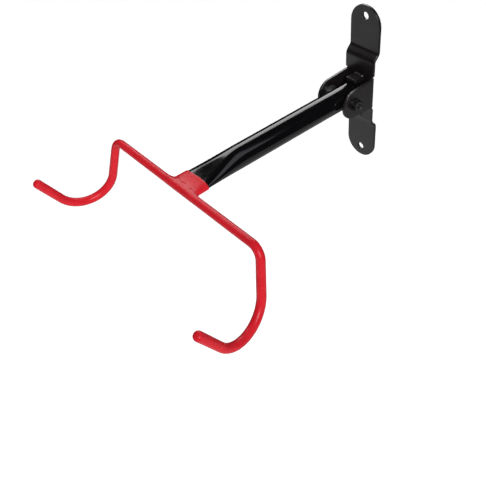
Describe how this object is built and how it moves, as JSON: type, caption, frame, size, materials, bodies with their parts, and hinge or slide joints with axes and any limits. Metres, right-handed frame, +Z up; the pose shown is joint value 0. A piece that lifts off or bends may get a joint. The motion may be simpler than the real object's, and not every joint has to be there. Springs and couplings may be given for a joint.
{
  "type": "bicycle wall rack",
  "caption": "Folding steel wall rack: a stepped wall bracket with pivot ears, a round arm, and a bent rod crossbar whose vinyl-dipped hooks hold a bicycle by its top tube.",
  "frame": {"origin": "on the wall plane, behind the middle of the bracket, halfway between the two screw holes", "axes": "+X along the hook crossbar, +Y into the wall so that the arm projects toward -Y, +Z up"},
  "size_m": [0.3334, 0.3993, 0.213],
  "materials": {
    "bracket_black": "satin black powder coat",
    "arm_black": "gloss black enamel",
    "fastener_black": "black zinc plate",
    "zinc_steel": "bright zinc plate",
    "rod_steel": "bare drawn steel",
    "nylon": "black nylon",
    "red_vinyl": "soft semi-gloss dipped vinyl"
  },
  "bodies": {
    "bracket": {"wall_bracket": "bracket_black", "stop_bar": "bracket_black", "pivot_bolt": "fastener_black", "head_washer": "fastener_black", "nut_washer": "fastener_black", "lock_nut": "fastener_black", "nut_insert": "nylon"},
    "arm": {"arm_tube": "arm_black", "pivot_sleeve": "zinc_steel", "thrust_washer_left": "nylon", "thrust_washer_right": "nylon", "hook_rod": "rod_steel", "hook_coating": "red_vinyl"}
  },
  "joints": [
    {"name": "arm_fold", "type": "hinge", "parent": "bracket", "child": "arm", "pos_m": [0, -0.042, 0], "axis": [-1, 0, 0], "range_deg": [0, 90]}
  ]
}
